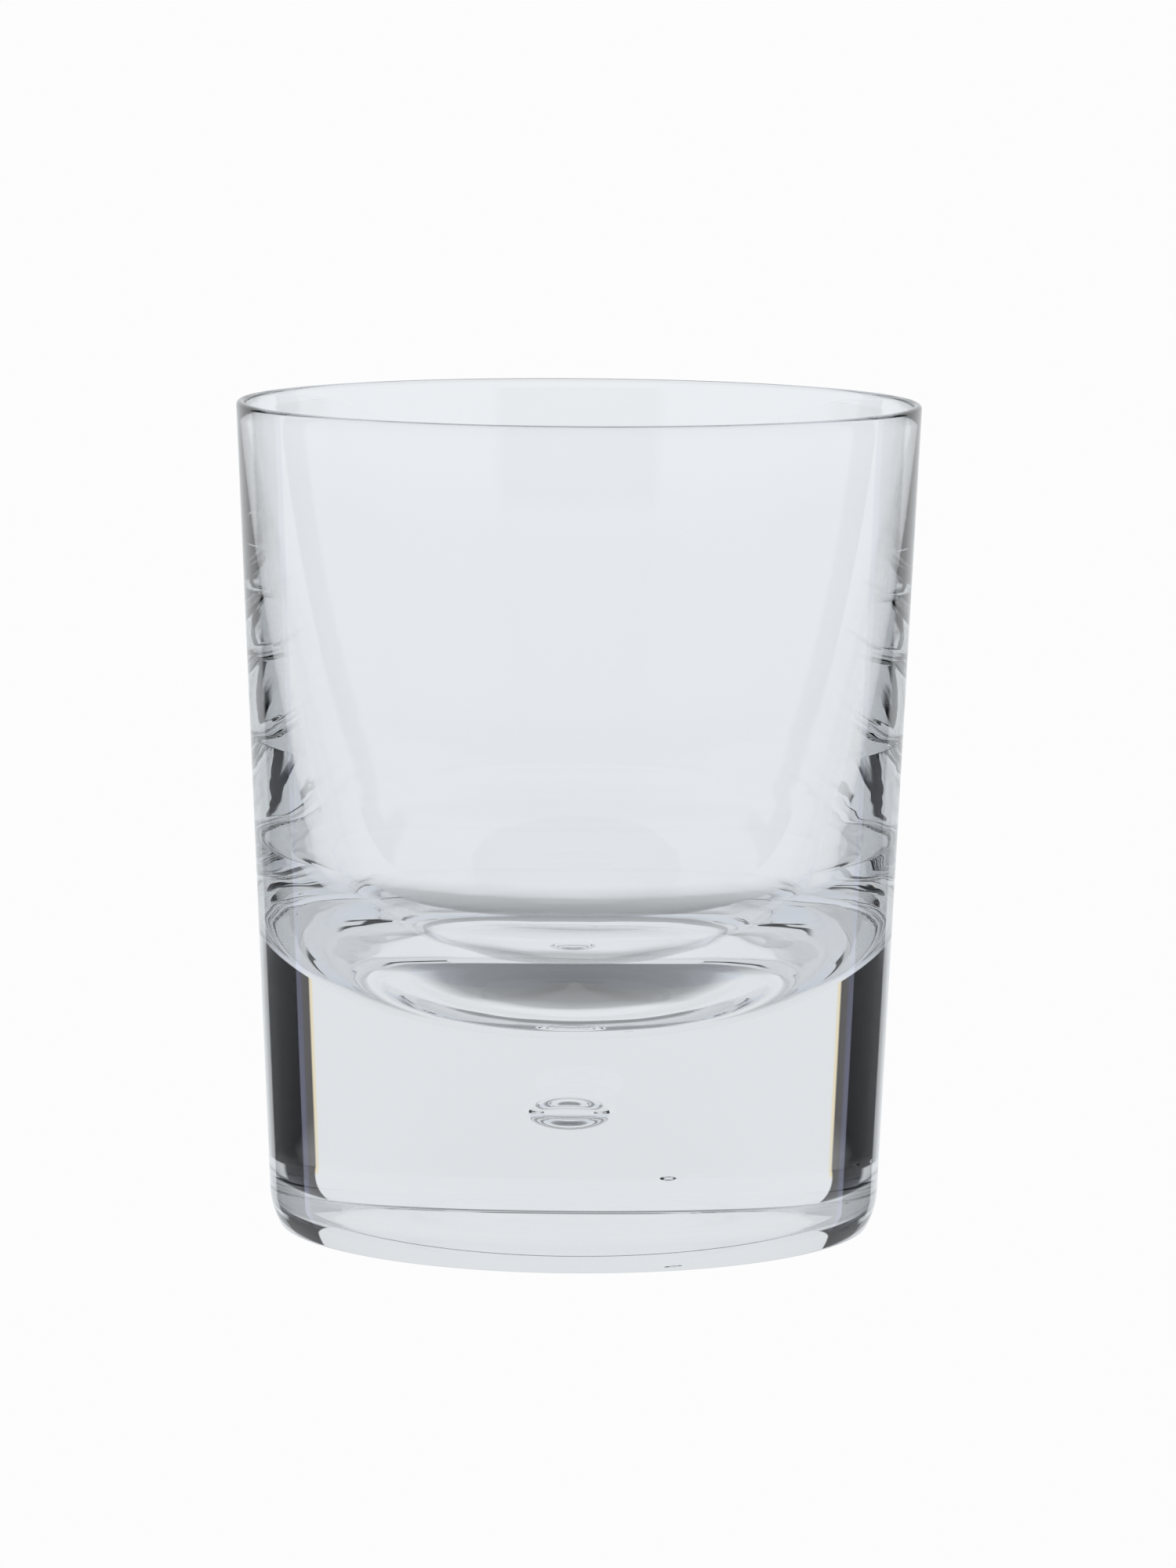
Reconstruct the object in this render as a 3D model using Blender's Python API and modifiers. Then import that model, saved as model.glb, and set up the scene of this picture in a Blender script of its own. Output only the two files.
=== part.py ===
"""Heavy-based whiskey tumbler of clear crystal, with one air bubble trapped in its base.

Metres, +Z up. The origin is the centre of the flat foot, on the table, and Z is the
axis that the glass was turned about while it was hot. The glass is worked from two
gathers: the first is blown into the bowl, with its floor pricked from below, and the
second is cased over that floor as the heavy base, so the prick closes into a bubble.
Every piece is a profile turned about Z.
"""

import math

import bpy

# ---- driving dimensions -------------------------------------------------------
HEIGHT = 0.100  # rim above the table
RIM_RADIUS = 0.04135  # outside of the wall, carried up to the rim
FOOT_RADIUS = 0.03688  # outside of the wall, carried down to the table
HEEL_RADIUS = 0.0090  # round between the wall and the ground foot
HEEL_TURN = math.radians(30.0)  # how far it turns in before the foot cuts it off

RIM_WALL = 0.0010  # glass thickness just under the rim
WALL_TAPER = 0.028  # extra thickness for each metre below the rim
WALL_SWELL = 1.70  # and for each square metre, so the wall swells downwards
RIM_ROUND = 0.0005  # height of the fire-polished lip

FLOOR_HEIGHT = 0.025  # lowest point of the inside
CORNER_RADIUS = 0.025  # round between the inside wall and the floor
FLOOR_RISE = math.radians(15.0)  # slope of the floor where that round begins

BUBBLE_RADIUS = 0.00355
BUBBLE_HALF_HEIGHT = 0.0022
BUBBLE_HEIGHT = 0.0159  # middle of the bubble above the table

JOINT_GAP = 0.0003  # between neighbouring solids

TURN_STEPS = 72
BUBBLE_STEPS = 36

# ---- derived ------------------------------------------------------------------
LEAN = math.atan((RIM_RADIUS - FOOT_RADIUS) / HEIGHT)  # of the outside wall
LIP_HEIGHT = HEIGHT - RIM_ROUND  # where the straight wall ends and the lip begins
SEAM_HIGH = BUBBLE_HEIGHT + JOINT_GAP / 2
SEAM_LOW = BUBBLE_HEIGHT - JOINT_GAP / 2


def outside_radius(z):
    """Radius of the straight leaning wall's outside at height z."""
    return FOOT_RADIUS + (RIM_RADIUS - FOOT_RADIUS) * z / HEIGHT


def inside_radius(z):
    """Radius of the inside wall at height z, above the corner round."""
    depth = HEIGHT - z
    thickness = RIM_WALL + WALL_TAPER * depth + WALL_SWELL * depth * depth
    return outside_radius(z) - thickness


def inside_lean(z):
    """Angle of the inside wall from the vertical at height z."""
    step = 0.00001
    return math.atan((inside_radius(z + step) - inside_radius(z - step)) / (2 * step))


def arc(centre, radius, start, end, count):
    """Points along a circle in the profile plane, from angle start to angle end."""
    points = []
    for index in range(count + 1):
        angle = start + (end - start) * index / count
        points.append(
            (centre[0] + radius * math.cos(angle), centre[1] + radius * math.sin(angle))
        )
    return points


def corner_centre(z):
    """Centre of the corner round that leaves the inside wall at height z."""
    lean = inside_lean(z)
    return (
        inside_radius(z) - CORNER_RADIUS * math.cos(lean),
        z + CORNER_RADIUS * math.sin(lean),
    )


def floor_gap(z):
    """How far the corner round that starts at z ends above the dished floor."""
    centre = corner_centre(z)
    floor_edge = centre[0] + CORNER_RADIUS * math.sin(FLOOR_RISE)
    edge_height = centre[1] - CORNER_RADIUS * math.cos(FLOOR_RISE)
    return edge_height - FLOOR_HEIGHT - floor_edge * math.tan(FLOOR_RISE / 2)


def corner_start():
    """Height at which the corner round leaves the inside wall, found by halving."""
    low = FLOOR_HEIGHT
    high = LIP_HEIGHT
    for _ in range(60):
        middle = (low + high) / 2
        if floor_gap(middle) < 0:
            low = middle
        else:
            high = middle
    return high


def inside_profile():
    """The inside, from the floor's middle out to the corner and up to the lip."""
    start = corner_start()
    centre = corner_centre(start)
    floor_edge = centre[0] + CORNER_RADIUS * math.sin(FLOOR_RISE)
    dish_radius = floor_edge / math.sin(FLOOR_RISE)
    dish_centre = (0.0, FLOOR_HEIGHT + dish_radius)
    right_angle = math.pi / 2
    dish = arc(dish_centre, dish_radius, -right_angle, FLOOR_RISE - right_angle, 8)
    corner = arc(
        centre, CORNER_RADIUS, FLOOR_RISE - right_angle, -inside_lean(start), 7
    )
    wall = []
    wall_steps = 10
    for index in range(1, wall_steps + 1):
        z = start + (LIP_HEIGHT - start) * index / wall_steps
        wall.append((inside_radius(z), z))
    dish[0] = (0.0, FLOOR_HEIGHT)
    return dish[:-1] + corner + wall


def lip_profile():
    """The fire-polished lip, over from the inside wall to the outside wall."""
    inner = inside_radius(LIP_HEIGHT)
    outer = outside_radius(LIP_HEIGHT)
    middle = (inner + outer) / 2
    half = (outer - inner) / 2
    points = []
    count = 6
    for index in range(1, count):
        angle = math.pi * (1 - index / count)
        points.append(
            (middle + half * math.cos(angle), LIP_HEIGHT + RIM_ROUND * math.sin(angle))
        )
    return points


def bubble_point(angle, clearance):
    """A point of the bubble, angle up from its equator, shrunk by a clearance."""
    return (
        (BUBBLE_RADIUS - clearance) * math.cos(angle),
        BUBBLE_HEIGHT + (BUBBLE_HALF_HEIGHT - clearance) * math.sin(angle),
    )


def seam_angle():
    """Angle up from the bubble's equator at which the seam cuts its hollow."""
    return math.asin(JOINT_GAP / 2 / BUBBLE_HALF_HEIGHT)


def bowl_profile():
    """Floor, inside, lip, outside down to the seam, and the hollow's roof."""
    outer_wall = []
    wall_steps = 4
    for index in range(wall_steps + 1):
        z = LIP_HEIGHT + (SEAM_HIGH - LIP_HEIGHT) * index / wall_steps
        outer_wall.append((outside_radius(z), z))
    roof = []
    roof_steps = 5
    for index in range(roof_steps):
        angle = seam_angle() + (math.pi / 2 - seam_angle()) * index / roof_steps
        roof.append(bubble_point(angle, 0.0))
    roof.append((0.0, BUBBLE_HEIGHT + BUBBLE_HALF_HEIGHT))
    return inside_profile() + lip_profile() + outer_wall + roof


def base_profile():
    """The hollow's bottom, out along the seam, down the outside, and the foot."""
    hollow = [(0.0, BUBBLE_HEIGHT - BUBBLE_HALF_HEIGHT)]
    hollow_steps = 5
    for index in range(1, hollow_steps + 1):
        angle = -math.pi / 2 + (math.pi / 2 - seam_angle()) * index / hollow_steps
        hollow.append(bubble_point(angle, 0.0))
    heel_z = HEEL_RADIUS * math.sin(HEEL_TURN)
    heel_x = FOOT_RADIUS + (heel_z * math.sin(LEAN) - HEEL_RADIUS) / math.cos(LEAN)
    heel = arc((heel_x, heel_z), HEEL_RADIUS, -LEAN, -HEEL_TURN, 7)
    outside = [(outside_radius(SEAM_LOW), SEAM_LOW)]
    return hollow + outside + heel + [(0.0, 0.0)]


def air_profile():
    """The trapped air, from its top to its bottom, clear of the glass around it."""
    points = []
    count = 10
    for index in range(count + 1):
        angle = math.pi / 2 - math.pi * index / count
        points.append(bubble_point(angle, JOINT_GAP))
    points[0] = (0.0, points[0][1])
    points[-1] = (0.0, points[-1][1])
    return points


def clear_scene():
    for scene_object in list(bpy.data.objects):
        bpy.data.objects.remove(scene_object, do_unlink=True)


def new_collection(name):
    collection = bpy.data.collections.new(name)
    bpy.context.scene.collection.children.link(collection)
    return collection


def clear_material(name, colour, roughness, ior, alpha):
    """A clear Principled material."""
    material = bpy.data.materials.new(name)
    material.use_nodes = True
    shader = material.node_tree.nodes["Principled BSDF"]
    shader.inputs["Base Color"].default_value = (*colour, 1.0)
    shader.inputs["Roughness"].default_value = roughness
    shader.inputs["Metallic"].default_value = 0.0
    shader.inputs["IOR"].default_value = ior
    shader.inputs["Transmission Weight"].default_value = 1.0
    shader.inputs["Alpha"].default_value = alpha
    return material


def turned(name, profile, steps, material, collection):
    """A closed body made by turning a profile that starts and ends on the axis."""
    mesh = bpy.data.meshes.new(name)
    edges = [(index, index + 1) for index in range(len(profile) - 1)]
    mesh.from_pydata([(x, 0.0, z) for x, z in profile], edges, [])
    mesh.update()
    mesh.materials.append(material)
    piece = bpy.data.objects.new(name, mesh)
    collection.objects.link(piece)
    screw = piece.modifiers.new("Turn", "SCREW")
    screw.axis = "Z"
    screw.angle = 2 * math.pi
    screw.screw_offset = 0.0
    screw.steps = steps
    screw.render_steps = steps
    screw.use_merge_vertices = True
    screw.merge_threshold = 0.00001
    screw.use_smooth_shade = True
    return piece


def main():
    clear_scene()
    tumbler = new_collection("whiskey_tumbler")
    crystal = clear_material("crystal", (0.93, 0.95, 0.98), 0.0, 1.52, 0.35)
    heavy_crystal = clear_material("heavy_crystal", (0.93, 0.95, 0.98), 0.0, 1.52, 0.35)
    air = clear_material("air", (1.0, 1.0, 1.0), 0.0, 1.0, 0.15)
    bowl = turned("bowl", bowl_profile(), TURN_STEPS, crystal, tumbler)
    base = turned("base", base_profile(), TURN_STEPS, heavy_crystal, tumbler)
    bubble = turned("air_bubble", air_profile(), BUBBLE_STEPS, air, tumbler)
    whole = bpy.data.objects.new("tumbler", None)
    tumbler.objects.link(whole)
    for piece in (bowl, base, bubble):
        piece.parent = whole


if __name__ == "__main__":
    main()
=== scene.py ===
"""Heavy-based whiskey tumbler in clear crystal, standing in a bright studio.

The tumbler is one piece of hand-worked glass: a turned skin with a gently flared
outside, a wall that swells downwards into a dished floor, a fire-polished lip, and a
round heel cut off by a flat ground foot. A flattened bubble of air sits in the middle of
the heavy base and one small seed of air low at its back. Both are hollows in the same
glass.

Metres, +Z up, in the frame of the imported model.
"""

import logging
import math
from dataclasses import dataclass, field
from enum import Enum

import bpy
from mathutils import Matrix, Vector


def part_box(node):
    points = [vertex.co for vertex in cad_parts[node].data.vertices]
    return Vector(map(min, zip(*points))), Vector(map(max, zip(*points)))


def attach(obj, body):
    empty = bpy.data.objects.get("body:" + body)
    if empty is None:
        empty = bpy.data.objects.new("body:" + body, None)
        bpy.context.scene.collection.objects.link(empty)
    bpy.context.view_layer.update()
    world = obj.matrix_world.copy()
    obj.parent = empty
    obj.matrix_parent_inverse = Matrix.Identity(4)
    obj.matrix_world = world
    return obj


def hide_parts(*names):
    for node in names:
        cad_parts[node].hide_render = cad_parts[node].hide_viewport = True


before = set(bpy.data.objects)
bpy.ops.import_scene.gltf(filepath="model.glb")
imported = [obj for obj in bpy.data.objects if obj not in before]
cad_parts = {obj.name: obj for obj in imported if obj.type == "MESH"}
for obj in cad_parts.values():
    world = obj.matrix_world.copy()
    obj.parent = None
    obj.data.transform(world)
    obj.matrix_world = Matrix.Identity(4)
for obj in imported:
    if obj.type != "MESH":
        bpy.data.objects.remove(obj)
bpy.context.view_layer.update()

LOG = logging.getLogger("tumbler")

Point = tuple[float, float]
Colour = tuple[float, float, float]

# How finely each stretch of the outline is stepped.
FLOOR_STEPS = 44
CORNER_STEPS = 56
INSIDE_STEPS = 90
LIP_STEPS = 14
OUTSIDE_STEPS = 60
HEEL_STEPS = 22
FOOT_STEPS = 10

HALVINGS = 60
SLOPE_STEP = 1e-5
WELD_DISTANCE = 2e-6

PAPER_WHITE: Colour = (0.98, 0.98, 0.98)
FLOOR_DROP = 0.0002


class Audience(Enum):
    """Which light a studio surface is lit for."""

    EYE = "eye"
    THROUGH_GLASS = "through_glass"
    OFF_GLASS = "off_glass"


# ---------------------------------------------------------------------------
# Small node helpers
# ---------------------------------------------------------------------------


@dataclass
class NodeDesk:
    """Adds and links nodes in one tree.

    Args:
        tree: The shader or geometry tree that is being built.
    """

    tree: bpy.types.NodeTree

    def add(self, kind: str, label: str = "") -> bpy.types.Node:
        """Add a node.

        Args:
            kind: Blender's identifier of the node type.
            label: Words shown on the node.

        Returns:
            The new node.
        """
        node = self.tree.nodes.new(kind)
        node.label = label
        return node

    def link(self, source: bpy.types.NodeSocket, target: bpy.types.NodeSocket) -> None:
        """Join an output to an input."""
        self.tree.links.new(source, target)

    def feed(
        self, target: bpy.types.NodeSocket, value: float | bpy.types.NodeSocket
    ) -> None:
        """Set an input to a number or join it to an output.

        Args:
            target: The input.
            value: A number, or the output that drives it.
        """
        if isinstance(value, bpy.types.NodeSocket):
            self.link(value, target)
        else:
            target.default_value = value

    def math(
        self,
        operation: str,
        first: float | bpy.types.NodeSocket,
        second: float | bpy.types.NodeSocket | None = None,
        label: str = "",
    ) -> bpy.types.NodeSocket:
        """Add a Math node.

        Args:
            operation: The node's operation.
            first: First operand.
            second: Second operand, if the operation has one.
            label: Words shown on the node.

        Returns:
            The node's output.
        """
        node = self.add("ShaderNodeMath", label)
        node.operation = operation
        self.feed(node.inputs[0], first)
        if second is not None:
            self.feed(node.inputs[1], second)
        return node.outputs[0]


# ---------------------------------------------------------------------------
# The glass's form
# ---------------------------------------------------------------------------


@dataclass
class TumblerForm:
    """Sizes of the turned glass, and the outline they give.

    Args:
        height: Rim above the table.
        rim_radius: Outside of the wall, carried up to the rim.
        foot_radius: Outside of the wall, carried down to the table.
        heel_radius: Round between the wall and the ground foot.
        heel_turn: How far that round turns in before the foot cuts it off.
        rim_wall: Thickness of the wall just under the lip.
        wall_taper: Extra thickness for each metre below the rim.
        wall_swell: Extra thickness for each square metre below the rim.
        lip_rise: Height of the fire-polished lip.
        floor_height: Lowest point of the inside.
        corner_radius: Round between the inside wall and the floor.
        floor_rise: Slope of the dished floor where that round begins.
    """

    height: float = 0.100
    rim_radius: float = 0.04135
    foot_radius: float = 0.03688
    heel_radius: float = 0.0090
    heel_turn: float = math.radians(30.0)
    rim_wall: float = 0.0010
    wall_taper: float = 0.028
    wall_swell: float = 1.70
    lip_rise: float = 0.0005
    floor_height: float = 0.025
    corner_radius: float = 0.025
    floor_rise: float = math.radians(15.0)

    @property
    def lip_foot(self) -> float:
        """Height at which the straight wall gives way to the lip."""
        return self.height - self.lip_rise

    @property
    def lean(self) -> float:
        """Lean of the outside wall from the vertical."""
        return math.atan((self.rim_radius - self.foot_radius) / self.height)

    def outside(self, z: float) -> float:
        """Outside radius of the wall at a height."""
        return (
            self.foot_radius + (self.rim_radius - self.foot_radius) * z / self.height
        )

    def inside(self, z: float) -> float:
        """Inside radius of the wall at a height above the corner round."""
        depth = self.height - z
        wall = self.rim_wall + self.wall_taper * depth + self.wall_swell * depth**2
        return self.outside(z) - wall

    def inside_lean(self, z: float) -> float:
        """Lean of the inside wall from the vertical at a height."""
        rise = self.inside(z + SLOPE_STEP) - self.inside(z - SLOPE_STEP)
        return math.atan(rise / (2 * SLOPE_STEP))

    @staticmethod
    def arc(
        centre: Point, radius: float, start: float, end: float, count: int
    ) -> list[Point]:
        """Points along a circle in the outline's plane.

        Args:
            centre: Centre of the circle.
            radius: Its radius.
            start: Angle of the first point.
            end: Angle of the last point.
            count: Number of steps between them.

        Returns:
            The points, both ends among them.
        """
        angles = [start + (end - start) * step / count for step in range(count + 1)]
        return [
            (centre[0] + radius * math.cos(a), centre[1] + radius * math.sin(a))
            for a in angles
        ]

    def corner_centre(self, z: float) -> Point:
        """Centre of the corner round that leaves the inside wall at height z."""
        lean = self.inside_lean(z)
        return (
            self.inside(z) - self.corner_radius * math.cos(lean),
            z + self.corner_radius * math.sin(lean),
        )

    def floor_miss(self, z: float) -> float:
        """How far the corner round that starts at z ends above the dished floor."""
        centre = self.corner_centre(z)
        edge = centre[0] + self.corner_radius * math.sin(self.floor_rise)
        edge_height = centre[1] - self.corner_radius * math.cos(self.floor_rise)
        return edge_height - self.floor_height - edge * math.tan(self.floor_rise / 2)

    def corner_start(self) -> float:
        """Find, by halving, the height at which the corner round begins.

        Returns:
            The height of the inside wall's lower end.
        """
        low, high = self.floor_height, self.lip_foot
        for _ in range(HALVINGS):
            middle = (low + high) / 2
            if self.floor_miss(middle) < 0:
                low = middle
            else:
                high = middle
        return high

    def inside_outline(self) -> list[Point]:
        """The dished floor, the corner round and the inside wall up to the lip.

        Returns:
            Points from the floor's middle to the foot of the lip.
        """
        start = self.corner_start()
        centre = self.corner_centre(start)
        edge = centre[0] + self.corner_radius * math.sin(self.floor_rise)
        dish = edge / math.sin(self.floor_rise)
        down = -math.pi / 2
        floor = self.arc(
            (0.0, self.floor_height + dish), dish, down, down + self.floor_rise, FLOOR_STEPS
        )
        floor[0] = (0.0, self.floor_height)
        corner = self.arc(
            centre,
            self.corner_radius,
            down + self.floor_rise,
            -self.inside_lean(start),
            CORNER_STEPS,
        )
        rise = self.lip_foot - start
        heights = [start + rise * step / INSIDE_STEPS for step in range(1, INSIDE_STEPS + 1)]
        wall = [(self.inside(z), z) for z in heights]
        return floor[:-1] + corner + wall

    def lip_outline(self) -> list[Point]:
        """The fire-polished lip, over from the inside wall to the outside wall.

        Returns:
            Points between the two walls, neither end among them.
        """
        inner, outer = self.inside(self.lip_foot), self.outside(self.lip_foot)
        middle, half = (inner + outer) / 2, (outer - inner) / 2
        angles = [math.pi * (1 - step / LIP_STEPS) for step in range(1, LIP_STEPS)]
        return [
            (
                middle + half * math.cos(a),
                self.lip_foot + self.lip_rise * math.sin(a),
            )
            for a in angles
        ]

    def outside_outline(self) -> list[Point]:
        """The outside wall down from the lip, the heel and the flat foot.

        Returns:
            Points from the foot of the lip to the foot's middle.
        """
        heel = self.heel_radius
        heel_z = heel * math.sin(self.heel_turn)
        heel_x = self.foot_radius + (heel_z * math.sin(self.lean) - heel) / math.cos(
            self.lean
        )
        round_heel = self.arc(
            (heel_x, heel_z), heel, -self.lean, -self.heel_turn, HEEL_STEPS
        )
        drop = self.lip_foot - round_heel[0][1]
        heights = [self.lip_foot - drop * step / OUTSIDE_STEPS for step in range(OUTSIDE_STEPS)]
        wall = [(self.outside(z), z) for z in heights]
        edge = round_heel[-1][0]
        foot = [(edge * (1 - step / FOOT_STEPS), 0.0) for step in range(1, FOOT_STEPS + 1)]
        return wall + round_heel + foot

    def outline(self) -> list[Point]:
        """The whole outline, from the floor's middle, over the lip, to the foot's."""
        return self.inside_outline() + self.lip_outline() + self.outside_outline()


@dataclass(frozen=True)
class Hollow:
    """A bubble of air closed in the glass.

    Args:
        radius: Half its width.
        half_height: Half its height.
        place: Its middle.
        rings: Rings of faces from pole to pole.
    """

    radius: float
    half_height: float
    place: tuple[float, float, float]
    rings: int = 48


# ---------------------------------------------------------------------------
# Turning the outline
# ---------------------------------------------------------------------------


@dataclass
class LatheTree:
    """Geometry nodes that turn an outline and close hollows into the glass.

    Args:
        name: Name of the node group.
        hollows: Bubbles of air in the glass.
        inputs: Identifier of each named input, filled in by build.
    """

    name: str
    hollows: tuple[Hollow, ...]
    inputs: dict[str, str] = field(default_factory=dict)

    def socket(self, tree: bpy.types.NodeTree, name: str, kind: str) -> None:
        """Add a named input to the group and keep its identifier."""
        made = tree.interface.new_socket(name, in_out="INPUT", socket_type=kind)
        self.inputs[name] = made.identifier

    def build(self) -> bpy.types.NodeTree:
        """Build the group.

        Returns:
            The node group, which ends in one realized mesh with its material.
        """
        tree = bpy.data.node_groups.new(self.name, "GeometryNodeTree")
        tree.interface.new_socket(
            "Geometry", in_out="OUTPUT", socket_type="NodeSocketGeometry"
        )
        self.socket(tree, "Outline", "NodeSocketGeometry")
        self.socket(tree, "Outline Points", "NodeSocketInt")
        self.socket(tree, "Turn Steps", "NodeSocketInt")
        self.socket(tree, "Ripple Depth", "NodeSocketFloat")
        self.socket(tree, "Ripple Scale", "NodeSocketFloat")
        self.socket(tree, "Ripple Full", "NodeSocketFloat")
        self.socket(tree, "Ripple Top", "NodeSocketFloat")
        self.socket(tree, "Ripple Reach", "NodeSocketFloat")
        self.socket(tree, "Glass", "NodeSocketMaterial")
        for index in range(len(self.hollows)):
            self.socket(tree, f"Hollow {index + 1} Size", "NodeSocketVector")
            self.socket(tree, f"Hollow {index + 1} Place", "NodeSocketVector")
        desk = NodeDesk(tree)
        given = desk.add("NodeGroupInput")
        skin = self.ripple(desk, given, self.turn(desk, given))
        join = desk.add("GeometryNodeJoinGeometry")
        for index, hollow in enumerate(self.hollows):
            desk.link(self.bubble(desk, given, index, hollow), join.inputs[0])
        desk.link(skin, join.inputs[0])
        smooth = desk.add("GeometryNodeSetShadeSmooth")
        desk.link(join.outputs[0], smooth.inputs["Geometry"])
        realize = desk.add("GeometryNodeRealizeInstances")
        desk.link(smooth.outputs[0], realize.inputs["Geometry"])
        dress = desk.add("GeometryNodeSetMaterial")
        desk.link(realize.outputs[0], dress.inputs["Geometry"])
        desk.link(given.outputs["Glass"], dress.inputs["Material"])
        out = desk.add("NodeGroupOutput")
        desk.link(dress.outputs[0], out.inputs[0])
        return tree

    def turn(self, desk: NodeDesk, given: bpy.types.Node) -> bpy.types.NodeSocket:
        """Turn the outline about Z into a welded skin.

        Args:
            desk: The tree's helper.
            given: The group's input node.

        Returns:
            The skin.
        """
        around = desk.math("ADD", given.outputs["Turn Steps"], 1.0, "points around")
        grid = desk.add("GeometryNodeMeshGrid")
        desk.link(given.outputs["Outline Points"], grid.inputs["Vertices X"])
        desk.link(around, grid.inputs["Vertices Y"])
        index = desk.add("GeometryNodeInputIndex").outputs[0]
        along = desk.math(
            "FLOOR", desk.math("DIVIDE", desk.math("ADD", index, 0.5), around)
        )
        step = desk.math("SUBTRACT", index, desk.math("MULTIPLY", along, around))
        angle = desk.math(
            "DIVIDE",
            desk.math("MULTIPLY", step, 2 * math.pi),
            given.outputs["Turn Steps"],
            "angle about Z",
        )
        sample = desk.add("GeometryNodeSampleIndex", "outline point")
        sample.data_type = "FLOAT_VECTOR"
        desk.link(given.outputs["Outline"], sample.inputs["Geometry"])
        desk.link(
            desk.add("GeometryNodeInputPosition").outputs[0], sample.inputs["Value"]
        )
        desk.link(along, sample.inputs["Index"])
        spin = desk.add("ShaderNodeVectorRotate")
        spin.rotation_type = "Z_AXIS"
        desk.link(sample.outputs[0], spin.inputs["Vector"])
        desk.link(angle, spin.inputs["Angle"])
        place = desk.add("GeometryNodeSetPosition")
        desk.link(grid.outputs["Mesh"], place.inputs["Geometry"])
        desk.link(spin.outputs[0], place.inputs["Position"])
        weld = desk.add("GeometryNodeMergeByDistance")
        desk.link(place.outputs[0], weld.inputs["Geometry"])
        weld.inputs["Distance"].default_value = WELD_DISTANCE
        return weld.outputs[0]

    def ripple(
        self,
        desk: NodeDesk,
        given: bpy.types.Node,
        skin: bpy.types.NodeSocket,
    ) -> bpy.types.NodeSocket:
        """Give the inside the faint rings that a blown and tooled wall keeps.

        Args:
            desk: The tree's helper.
            given: The group's input node.
            skin: The turned skin.

        Returns:
            The skin with its ripples.
        """
        position = desk.add("GeometryNodeInputPosition").outputs[0]
        split = desk.add("ShaderNodeSeparateXYZ")
        desk.link(position, split.inputs[0])
        normal = desk.add("GeometryNodeInputNormal").outputs[0]
        outward = desk.add("ShaderNodeVectorMath", "faces out or in")
        outward.operation = "DOT_PRODUCT"
        desk.link(normal, outward.inputs[0])
        flat = desk.add("ShaderNodeVectorMath")
        flat.operation = "MULTIPLY"
        desk.link(position, flat.inputs[0])
        flat.inputs[1].default_value = (1.0, 1.0, 0.0)
        desk.link(flat.outputs[0], outward.inputs[1])
        inside = desk.math("LESS_THAN", outward.outputs["Value"], 0.0, "inside wall")
        fade = desk.add("ShaderNodeMapRange", "fades towards the rim")
        fade.interpolation_type = "SMOOTHSTEP"
        desk.link(split.outputs[2], fade.inputs["Value"])
        desk.link(given.outputs["Ripple Full"], fade.inputs["From Min"])
        desk.link(given.outputs["Ripple Top"], fade.inputs["From Max"])
        fade.inputs["To Min"].default_value = 1.0
        fade.inputs["To Max"].default_value = 0.0
        reach = desk.add("ShaderNodeVectorMath", "distance from the axis")
        reach.operation = "LENGTH"
        desk.link(flat.outputs[0], reach.inputs[0])
        still = desk.add("ShaderNodeMapRange", "smooth in the middle")
        still.interpolation_type = "SMOOTHSTEP"
        desk.link(reach.outputs["Value"], still.inputs["Value"])
        desk.link(given.outputs["Ripple Reach"], still.inputs["From Max"])
        spread = desk.add("ShaderNodeVectorMath", "slow change around")
        spread.operation = "NORMALIZE"
        desk.link(flat.outputs[0], spread.inputs[0])
        course = desk.add("ShaderNodeCombineXYZ", "quick change along the outline")
        desk.link(
            desk.math(
                "MULTIPLY",
                desk.math("ADD", reach.outputs["Value"], split.outputs[2]),
                given.outputs["Ripple Scale"],
            ),
            course.inputs[2],
        )
        place = desk.add("ShaderNodeVectorMath")
        place.operation = "ADD"
        desk.link(spread.outputs[0], place.inputs[0])
        desk.link(course.outputs[0], place.inputs[1])
        noise = desk.add("ShaderNodeTexNoise", "tooling rings")
        noise.noise_dimensions = "3D"
        desk.link(place.outputs[0], noise.inputs["Vector"])
        noise.inputs["Scale"].default_value = 1.0
        noise.inputs["Detail"].default_value = 2.0
        noise.inputs["Roughness"].default_value = 0.45
        wave = desk.math("SUBTRACT", noise.outputs[0], 0.5)
        depth = desk.math(
            "MULTIPLY",
            desk.math("MULTIPLY", wave, given.outputs["Ripple Depth"]),
            desk.math(
                "MULTIPLY",
                desk.math("MULTIPLY", inside, fade.outputs[0]),
                still.outputs[0],
            ),
        )
        offset = desk.add("ShaderNodeVectorMath")
        offset.operation = "SCALE"
        desk.link(normal, offset.inputs[0])
        desk.link(depth, offset.inputs["Scale"])
        move = desk.add("GeometryNodeSetPosition")
        desk.link(skin, move.inputs["Geometry"])
        desk.link(offset.outputs[0], move.inputs["Offset"])
        return move.outputs[0]

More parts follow.
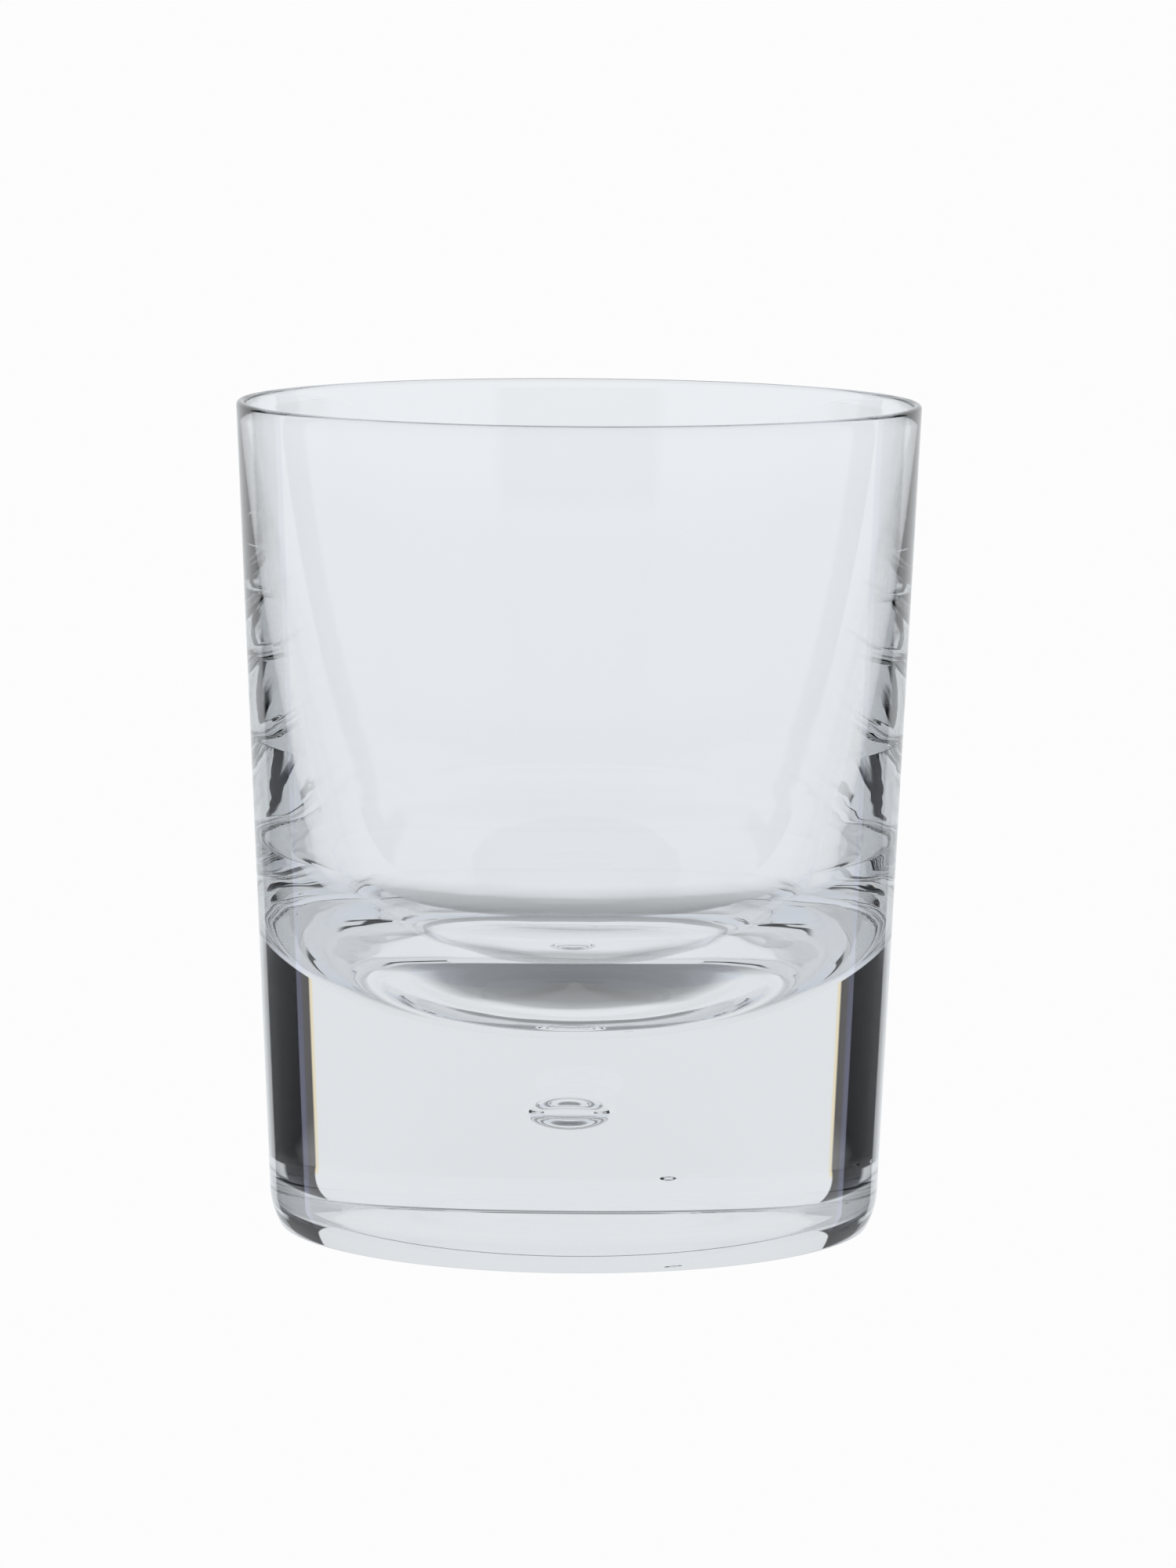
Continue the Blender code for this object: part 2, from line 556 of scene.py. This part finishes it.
    def bubble(
        self, desk: NodeDesk, given: bpy.types.Node, index: int, hollow: Hollow
    ) -> bpy.types.NodeSocket:
        """Make one hollow, a flattened ball whose faces point into its air.

        Args:
            desk: The tree's helper.
            given: The group's input node.
            index: Which hollow, from 0.
            hollow: Its fineness.

        Returns:
            The hollow's mesh.
        """
        ball = desk.add("GeometryNodeMeshUVSphere")
        ball.inputs["Segments"].default_value = 2 * hollow.rings
        ball.inputs["Rings"].default_value = hollow.rings
        ball.inputs["Radius"].default_value = 1.0
        shape = desk.add("GeometryNodeTransform")
        desk.link(ball.outputs["Mesh"], shape.inputs["Geometry"])
        desk.link(given.outputs[f"Hollow {index + 1} Size"], shape.inputs["Scale"])
        desk.link(
            given.outputs[f"Hollow {index + 1} Place"], shape.inputs["Translation"]
        )
        flip = desk.add("GeometryNodeFlipFaces")
        desk.link(shape.outputs[0], flip.inputs["Mesh"])
        return flip.outputs[0]


# ---------------------------------------------------------------------------
# Finish
# ---------------------------------------------------------------------------


@dataclass(frozen=True)
class CrystalFinish:
    """Clear fire-polished crystal.

    Args:
        name: Name of the material.
        tint: What each surface lets through.
        ior: Refractive index.
        body_tint: Colour left after a long way through the glass.
        body_density: How strongly the body takes the rest, for each metre.
    """

    name: str = "clear_crystal"
    tint: Colour = (0.985, 0.99, 0.995)
    ior: float = 1.52
    body_tint: Colour = (0.40, 0.44, 0.46)
    body_density: float = 2.6

    def material(self) -> bpy.types.Material:
        """Build the material.

        Returns:
            A transmitting Principled material with a lightly absorbing body.
        """
        made = bpy.data.materials.new(self.name)
        made.use_nodes = True
        tree = made.node_tree
        shader = tree.nodes["Principled BSDF"]
        shader.inputs["Base Color"].default_value = (*self.tint, 1.0)
        shader.inputs["Roughness"].default_value = 0.0
        shader.inputs["IOR"].default_value = self.ior
        shader.inputs["Transmission Weight"].default_value = 1.0
        desk = NodeDesk(tree)
        body = desk.add("ShaderNodeVolumeAbsorption", "glass body")
        body.inputs["Color"].default_value = (*self.body_tint, 1.0)
        body.inputs["Density"].default_value = self.body_density
        out = tree.nodes["Material Output"]
        desk.link(body.outputs[0], out.inputs["Volume"])
        return made


# ---------------------------------------------------------------------------
# The tumbler
# ---------------------------------------------------------------------------


@dataclass
class Tumbler:
    """The one piece of glass, with the air closed in its base.

    Args:
        form: Sizes of the glass.
        finish: Its material.
        bubble: The flattened bubble in the middle of the base.
        seed: The small seed low at the back of the base.
        turn_steps: Faces around the skin.
        ripple_depth: Depth of the rings on the inside.
        ripple_scale: How closely they follow each other, for each metre of outline.
        ripple_full: Height below which the rings have their full depth.
        ripple_top: Height above which the inside is smooth.
        ripple_reach: Distance from the axis at which they have their full depth.
    """

    form: TumblerForm
    finish: CrystalFinish
    bubble: Hollow = Hollow(0.00355, 0.0022, (-0.0004, 0.0, 0.0159))
    seed: Hollow = Hollow(0.00036, 0.0003, (0.0041, 0.0350, 0.0042), 16)
    turn_steps: int = 240
    ripple_depth: float = 0.00004
    ripple_scale: float = 420.0
    ripple_full: float = 0.040
    ripple_top: float = 0.066
    ripple_reach: float = 0.012

    def outline_object(self) -> bpy.types.Object:
        """Lay the outline's points out as one object's vertices."""
        mesh = bpy.data.meshes.new("tumbler_outline")
        points = self.form.outline()
        edges = [(index, index + 1) for index in range(len(points) - 1)]
        mesh.from_pydata([(x, 0.0, z) for x, z in points], edges, [])
        holder = bpy.data.objects.new("tumbler_outline", mesh)
        bpy.context.scene.collection.objects.link(holder)
        return holder

    def build(self) -> bpy.types.Object:
        """Turn the glass into a plain mesh.

        Returns:
            The finished piece, at the origin.
        """
        holder = self.outline_object()
        hollows = (self.bubble, self.seed)
        lathe = LatheTree("turned_crystal", hollows)
        tree = lathe.build()
        turning = holder.modifiers.new("turning", "NODES")
        turning.node_group = tree
        turning[lathe.inputs["Outline Points"]] = len(holder.data.vertices)
        turning[lathe.inputs["Turn Steps"]] = self.turn_steps
        turning[lathe.inputs["Ripple Depth"]] = self.ripple_depth
        turning[lathe.inputs["Ripple Scale"]] = self.ripple_scale
        turning[lathe.inputs["Ripple Full"]] = self.ripple_full
        turning[lathe.inputs["Ripple Top"]] = self.ripple_top
        turning[lathe.inputs["Ripple Reach"]] = self.ripple_reach
        turning[lathe.inputs["Glass"]] = self.finish.material()
        for index, hollow in enumerate(hollows):
            size = (hollow.radius, hollow.radius, hollow.half_height)
            turning[lathe.inputs[f"Hollow {index + 1} Size"]] = size
            turning[lathe.inputs[f"Hollow {index + 1} Place"]] = hollow.place
        seen = holder.evaluated_get(bpy.context.evaluated_depsgraph_get())
        mesh = bpy.data.meshes.new_from_object(seen)
        mesh.name = "tumbler_glass"
        bpy.data.objects.remove(holder)
        glass = bpy.data.objects.new("tumbler_glass", mesh)
        bpy.context.scene.collection.objects.link(glass)
        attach(glass, "root")
        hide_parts("bowl", "base", "air_bubble")
        return glass


# ---------------------------------------------------------------------------
# Studio
# ---------------------------------------------------------------------------


@dataclass(frozen=True)
class Tone:
    """A stop of a gradient.

    Args:
        angle: Where it is, in degrees.
        colour: Its colour.
    """

    angle: float
    colour: Colour


@dataclass(frozen=True)
class Sector:
    """A slice of the room, to the left and the right of straight behind the glass.

    Args:
        start: Bearing at which it takes over, in degrees from straight behind.
        soft: Degrees over which it takes over.
        tones: Its tones by elevation.
    """

    start: float
    soft: float
    tones: tuple[Tone, ...]


@dataclass
class StudioDome:
    """A glowing ball round the table, lit for one kind of light only.

    Args:
        name: Name of the dome.
        audience: Who sees it.
        radius: Its radius.
        sectors: Its slices, from straight behind the glass round to the camera.
    """

    name: str
    audience: Audience
    radius: float
    sectors: tuple[Sector, ...]

    def ramp(
        self, desk: NodeDesk, shades: tuple[Tone, ...], elevation: bpy.types.NodeSocket
    ) -> bpy.types.NodeSocket:
        """Colour by elevation, from -90 to 90 degrees.

        Args:
            desk: The tree's helper.
            shades: The tones, from the lowest up.
            elevation: The elevation, in degrees.

        Returns:
            The colour at that elevation.
        """
        node = desk.add("ShaderNodeValToRGB")
        desk.link(desk.math("DIVIDE", desk.math("ADD", elevation, 90.0), 180.0), node.inputs[0])
        stops = node.color_ramp.elements
        while len(stops) > 1:
            stops.remove(stops[-1])
        for index, tone in enumerate(shades):
            position = (tone.angle + 90.0) / 180.0
            stop = stops[0] if index == 0 else stops.new(position)
            stop.position = position
            stop.color = (*tone.colour, 1.0)
        return node.outputs[0]

    def step(
        self, desk: NodeDesk, value: bpy.types.NodeSocket, low: float, high: float
    ) -> bpy.types.NodeSocket:
        """A smooth step from 0 to 1.

        Args:
            desk: The tree's helper.
            value: What is compared.
            low: Where the step begins.
            high: Where it ends.

        Returns:
            The step's value.
        """
        node = desk.add("ShaderNodeMapRange")
        node.interpolation_type = "SMOOTHSTEP"
        desk.link(value, node.inputs["Value"])
        node.inputs["From Min"].default_value = low
        node.inputs["From Max"].default_value = high
        return node.outputs[0]

    def blend(
        self,
        desk: NodeDesk,
        factor: bpy.types.NodeSocket,
        first: bpy.types.NodeSocket,
        second: bpy.types.NodeSocket,
    ) -> bpy.types.NodeSocket:
        """Mix two colours.

        Args:
            desk: The tree's helper.
            factor: Share of the second colour.
            first: The first colour.
            second: The second colour.

        Returns:
            The mixed colour.
        """
        node = desk.add("ShaderNodeMix")
        node.data_type = "RGBA"
        desk.link(factor, node.inputs[0])
        desk.link(first, node.inputs[6])
        desk.link(second, node.inputs[7])
        return node.outputs[2]

    def material(self) -> bpy.types.Material:
        """Build the dome's glow.

        Returns:
            An emitting material patterned by direction from the table's middle.
        """
        made = bpy.data.materials.new(self.name)
        made.use_nodes = True
        made.cycles.emission_sampling = "NONE"
        tree = made.node_tree
        tree.nodes.clear()
        desk = NodeDesk(tree)
        where = desk.add("ShaderNodeTexCoord")
        unit = desk.add("ShaderNodeVectorMath")
        unit.operation = "NORMALIZE"
        desk.link(where.outputs["Object"], unit.inputs[0])
        split = desk.add("ShaderNodeSeparateXYZ")
        desk.link(unit.outputs[0], split.inputs[0])
        to_degrees = 180.0 / math.pi
        bearing = desk.math(
            "MULTIPLY",
            desk.math("ABSOLUTE", desk.math("ARCTAN2", split.outputs[0], split.outputs[1])),
            to_degrees,
            "away from straight behind",
        )
        elevation = desk.math("MULTIPLY", desk.math("ARCSINE", split.outputs[2]), to_degrees)
        colour = self.ramp(desk, self.sectors[0].tones, elevation)
        for sector in self.sectors[1:]:
            edge = self.step(desk, bearing, sector.start, sector.start + sector.soft)
            slice_colour = self.ramp(desk, sector.tones, elevation)
            colour = self.blend(desk, edge, colour, slice_colour)
        glow = desk.add("ShaderNodeEmission")
        desk.link(colour, glow.inputs["Color"])
        out = desk.add("ShaderNodeOutputMaterial")
        desk.link(glow.outputs[0], out.inputs["Surface"])
        return made

    def build(self) -> bpy.types.Object:
        """Make the dome.

        Returns:
            The dome, marked as part of the stage.
        """
        bpy.ops.mesh.primitive_uv_sphere_add(segments=96, ring_count=48, radius=self.radius)
        dome = bpy.context.object
        dome.name = self.name
        dome.data.materials.append(self.material())
        show_to(dome, self.audience)
        return dome


def show_to(thing: bpy.types.Object, audience: Audience) -> None:
    """Let only one kind of light see a studio surface.

    Args:
        thing: The surface.
        audience: Who sees it.
    """
    thing.visible_camera = audience is Audience.EYE
    thing.visible_transmission = audience is Audience.THROUGH_GLASS
    thing.visible_glossy = audience is Audience.OFF_GLASS
    thing.visible_diffuse = False
    thing.visible_shadow = False
    thing.visible_volume_scatter = False


def tones(*stops: tuple[float, float], hue: Colour = (0.95, 0.975, 1.0)) -> tuple[Tone, ...]:
    """Make tones of one hue.

    Args:
        stops: Pairs of elevation, in degrees, and brightness.
        hue: Colour of full brightness.

    Returns:
        The tones, in the order given.
    """
    return tuple(
        Tone(angle, tuple(value * share for share in hue)) for angle, value in stops
    )


def cast(stops: tuple[Tone, ...], low: float, high: float, hue: Colour) -> tuple[Tone, ...]:
    """Colour the tones between two elevations and leave the others.

    Args:
        stops: The tones.
        low: Lower elevation, in degrees.
        high: Upper elevation, in degrees.
        hue: What their colour is multiplied by.

    Returns:
        The tones, in the same order.
    """
    return tuple(
        Tone(t.angle, tuple(v * h for v, h in zip(t.colour, hue)))
        if low <= t.angle <= high
        else t
        for t in stops
    )


@dataclass
class Studio:
    """Pale floor, white surround, and the lit window and dark flags round the glass.

    This isn't a physical room. Each dome is seen by one kind of light only, and the flags
    are placed for the view from the front. From elsewhere they can show in the glass as
    dark bands or blocks.

    Args:
        floor_radius: Radius of the pale floor.
        surround_radius: Radius of the white surround.
        room_radius: Radius of the room seen through the glass.
        shine_radius: Radius of what the outside mirrors.
        apron_start: Bearing at which the window's middle gives way to its sides, in degrees.
        window_edge: Bearing of the lit window's edge.
        slit_start: Bearing past which each flag is two narrow strips.
        flag_edge: Bearing at which the flags end.
        front_start: Bearing at which the side towards the camera begins.
        bounces: How often light may turn inside the thick glass.
    """

    floor_radius: float = 1.6
    surround_radius: float = 3.0
    room_radius: float = 2.8
    shine_radius: float = 2.6
    apron_start: float = 10.0
    window_edge: float = 45.0
    slit_start: float = 60.0
    flag_edge: float = 73.0
    front_start: float = 148.0
    bounces: int = 24

    def floor(self) -> bpy.types.Object:
        """Lay the pale floor that the tumbler stands on."""
        bpy.ops.mesh.primitive_circle_add(
            vertices=128, radius=self.floor_radius, fill_type="NGON", location=(0, 0, -FLOOR_DROP)
        )
        floor = bpy.context.object
        floor.name = "pale_floor"
        made = bpy.data.materials.new("pale_floor")
        made.use_nodes = True
        shader = made.node_tree.nodes["Principled BSDF"]
        shader.inputs["Base Color"].default_value = (0.0, 0.0, 0.0, 1.0)
        shader.inputs["Specular IOR Level"].default_value = 0.0
        shader.inputs["Emission Color"].default_value = (*PAPER_WHITE, 1.0)
        shader.inputs["Emission Strength"].default_value = 1.0
        made.cycles.emission_sampling = "NONE"
        floor.data.materials.append(made)
        show_to(floor, Audience.EYE)
        return floor

    def white_surround(self) -> StudioDome:
        """The white that the eye sees behind the glass."""
        return StudioDome(
            "white_surround",
            Audience.EYE,
            self.surround_radius,
            (Sector(0.0, 0.0, (Tone(-90.0, PAPER_WHITE),)),),
        )

    def lit_room(self) -> StudioDome:
        """The window, the flags beside it and the pale table, seen through the glass; the table
        glows as painted light, darkened towards straight down by painted shade of the glass.
        """
        cool = (0.88, 0.92, 1.0)
        flag_blue = (0.76, 0.80, 1.0)
        amber, umber = (1.04, 0.90, 0.62), (2.6, 1.5, 1.0)
        low, high = -6.0, -2.5
        ceiling = tones((48, 0.86), (60, 0.30), (90, 0.30))
        # Below the horizon each slice shows the table as glowing painted light, and its darkening
        # towards straight down is painted shade of the glass on the table.
        window = tones(
            (-90, 0.22), (-70, 0.30), (-62, 0.34), (-55, 0.42), (-50, 0.50), (-47, 0.72),
            (-43, 0.88), (-36, 0.88), (-16, 0.87), (-9, 0.87), (-6, 0.90), (48, 0.90),
            (60, 0.30), (90, 0.30),
        )
        shaded_table = tones(
            (-90, 0.18), (-60, 0.27), (-50, 0.38), (-45, 0.60), (-38, 0.82), (-13, 0.83), hue=cool
        )
        apron = (
            tones((-90, 0.18), (-60, 0.27), (-50, 0.40), (-45, 0.60), (-38, 0.84), (-20, 0.86))
            + tones((-9, 0.87), (-6.8, 0.90), (low, 0.90), (high, 0.90), (-1.3, 0.90))
            + ceiling
        )
        below, above = tones((-7.2, 0.84)), tones((17, 0.78))
        whole = tones((low, 0.012), (high, 0.012), (14.5, 0.02), hue=flag_blue)
        lower_strip = tones((low, 0.012), (-2.8, 0.012), hue=flag_blue)
        between = tones((-2.0, 0.78), (6.5, 0.78))
        upper_strip = tones((8.5, 0.02), (14.5, 0.02), hue=flag_blue)
        flag = shaded_table + below + whole + above + ceiling
        slit_flag = shaded_table + below + lower_strip + between + upper_strip + above + ceiling
        room = shaded_table + tones((20, 0.76)) + ceiling
        dim = tones((-10, 0.82), (-8.5, 0.02), (-1, 0.02), (6, 0.62), (30, 0.62))
        front = shaded_table + dim + ceiling
        warm = cast(apron, low, high, amber)
        brown = cast(flag, low, high, umber)
        edge = self.window_edge
        return StudioDome(
            "window_and_flags",
            Audience.THROUGH_GLASS,
            self.room_radius,
            (
                Sector(0.0, 0.0, window),
                Sector(self.apron_start, 16.0, apron),
                Sector(edge - 1.1, 0.5, warm),
                Sector(edge - 0.1, 0.8, brown),
                Sector(edge + 2.2, 1.5, flag),
                Sector(self.slit_start, 4.0, slit_flag),
                Sector(self.flag_edge, 12.0, room),
                Sector(self.front_start, 6.0, front),
            ),
        )

    def soft_shine(self) -> StudioDome:
        """What the outside of the glass mirrors: the window, the table and a blue strip; the table
        glows as painted light, darkened towards straight down by painted shade.
        """
        # The mirrored table is glowing painted light, with painted shade of the glass darkening it
        # towards straight down.
        shaded_table = tones((-90, 0.3), (-50, 0.5), (-25, 0.4))
        ceiling = tones((50, 0.1), (90, 0.7))
        back = tones((-90, 0.3), (-50, 0.6), (-20, 0.7), (-10, 0.9), (90, 0.9))
        shoulder = shaded_table + tones((-14, 0.05), (-8.8, 0.05), (-7, 0.85), (90, 0.9))
        side = shaded_table + tones((-14, 0.03), (0, 0.03)) + ceiling
        strip = shaded_table + tones((-15, 1.7), (-11, 1.6), (-7.5, 0.5), hue=(0.70, 0.72, 1.0)) + ceiling
        fill = shaded_table + tones((-14, 0.95), (0, 0.95)) + ceiling
        return StudioDome(
            "soft_shine",
            Audience.OFF_GLASS,
            self.shine_radius,
            (
                Sector(0.0, 0.0, back),
                Sector(25.0, 3.0, shoulder),
                Sector(36.0, 4.0, side),
                Sector(57.0, 1.2, strip),
                Sector(60.6, 1.6, fill),
            ),
        )

    def build(self) -> None:
        """Set the whole studio."""
        world = bpy.data.worlds.new("dark_room")
        world.use_nodes = True
        world.node_tree.nodes["Background"].inputs["Color"].default_value = (0, 0, 0, 1)
        bpy.context.scene.world = world
        self.floor()
        for dome in (self.white_surround(), self.lit_room(), self.soft_shine()):
            dome.build()
        scene = bpy.context.scene
        scene.view_settings.view_transform = "Standard"
        scene.cycles.max_bounces = self.bounces
        scene.cycles.transmission_bounces = self.bounces
        scene.cycles.glossy_bounces = self.bounces


@dataclass
class ProductCamera:
    """A long lens, a little above the rim's level, looking down at the glass.

    Args:
        place: Where the camera stands.
        aim: What the middle of its view falls on.
        lens: Focal length in millimetres on a 36 mm sensor.
        roll: Small turn about its own axis.
    """

    place: tuple[float, float, float] = (0.0, -0.872978, 0.161734)
    aim: tuple[float, float, float] = (0.0014, 0.0, 0.05347)
    lens: float = 166.34
    roll: float = 0.00723

    def build(self) -> bpy.types.Object:
        """Make the camera the scene's camera."""
        data = bpy.data.cameras.new("product_camera")
        data.lens = self.lens
        data.sensor_width = 36.0
        data.clip_start = 0.01
        data.clip_end = 20.0
        camera = bpy.data.objects.new("product_camera", data)
        bpy.context.scene.collection.objects.link(camera)
        sight = Vector(self.aim) - Vector(self.place)
        turn = sight.to_track_quat("-Z", "Y").to_matrix().to_4x4()
        roll = Matrix.Rotation(self.roll, 4, "Z")
        camera.matrix_world = Matrix.Translation(Vector(self.place)) @ turn @ roll
        bpy.context.scene.camera = camera
        return camera


def main() -> None:
    """Build the camera, the studio and the tumbler."""
    logging.basicConfig(level=logging.INFO)
    ProductCamera().build()
    Studio().build()
    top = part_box("bowl")[1]
    form = TumblerForm(height=top.z)
    glass = Tumbler(form, CrystalFinish()).build()
    LOG.info("%s: %d faces", glass.name, len(glass.data.polygons))


if __name__ == "__main__":
    main()
